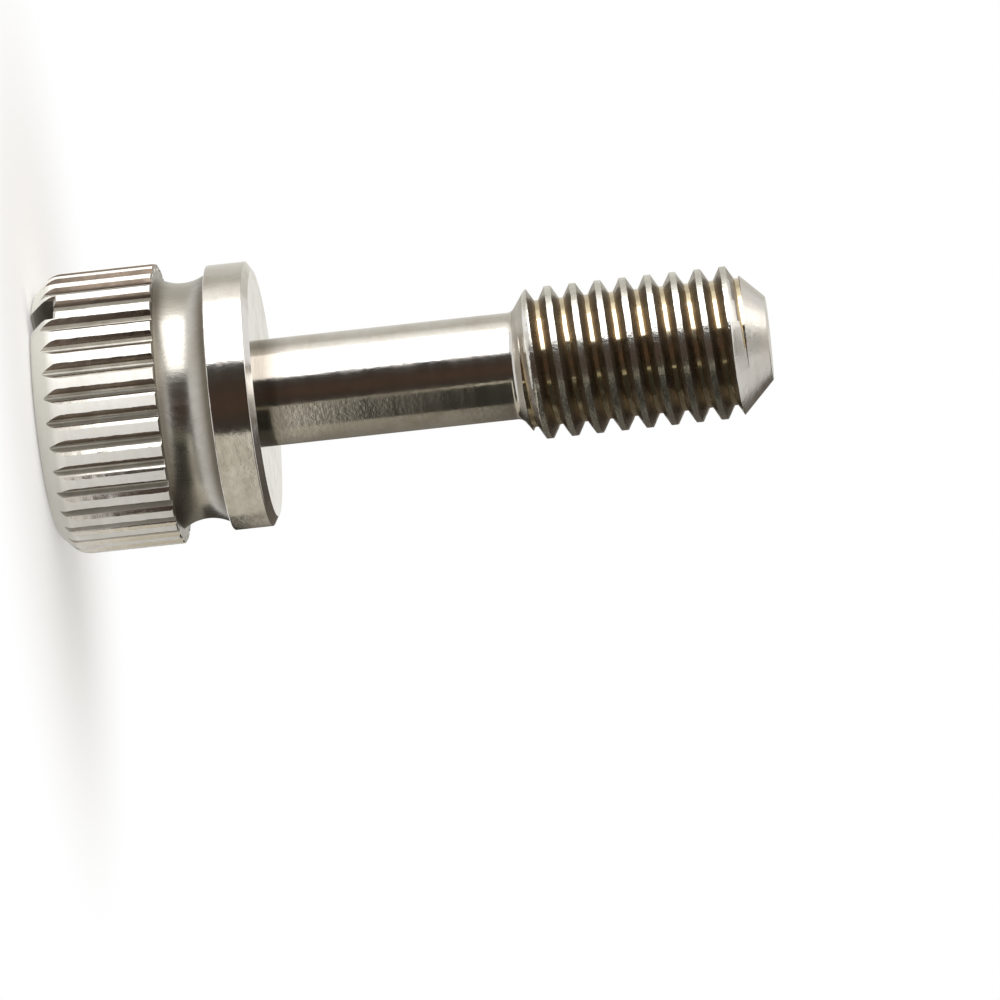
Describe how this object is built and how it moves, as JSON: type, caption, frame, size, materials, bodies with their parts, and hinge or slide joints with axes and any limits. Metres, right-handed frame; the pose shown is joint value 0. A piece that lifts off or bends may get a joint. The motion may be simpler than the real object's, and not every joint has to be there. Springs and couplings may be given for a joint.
{
  "type": "thumb screw",
  "caption": "Cylindrical thumb screw with a straight-knurled head, a slotted end face, a collar behind a narrow neck, a slim plain shank and a short threaded end.",
  "frame": {"origin": "on the screw's axis, in the plane of the head's end face, on which the screw stands", "axes": "+Z along the axis from the head to the threaded tip; X along the driver slot"},
  "size_m": [0.009, 0.009, 0.0232],
  "materials": {
    "turned_stainless_steel": "turned, bright, with fine feed marks"
  },
  "bodies": {
    "root": {"thumb_screw": "turned_stainless_steel"}
  },
  "joints": []
}
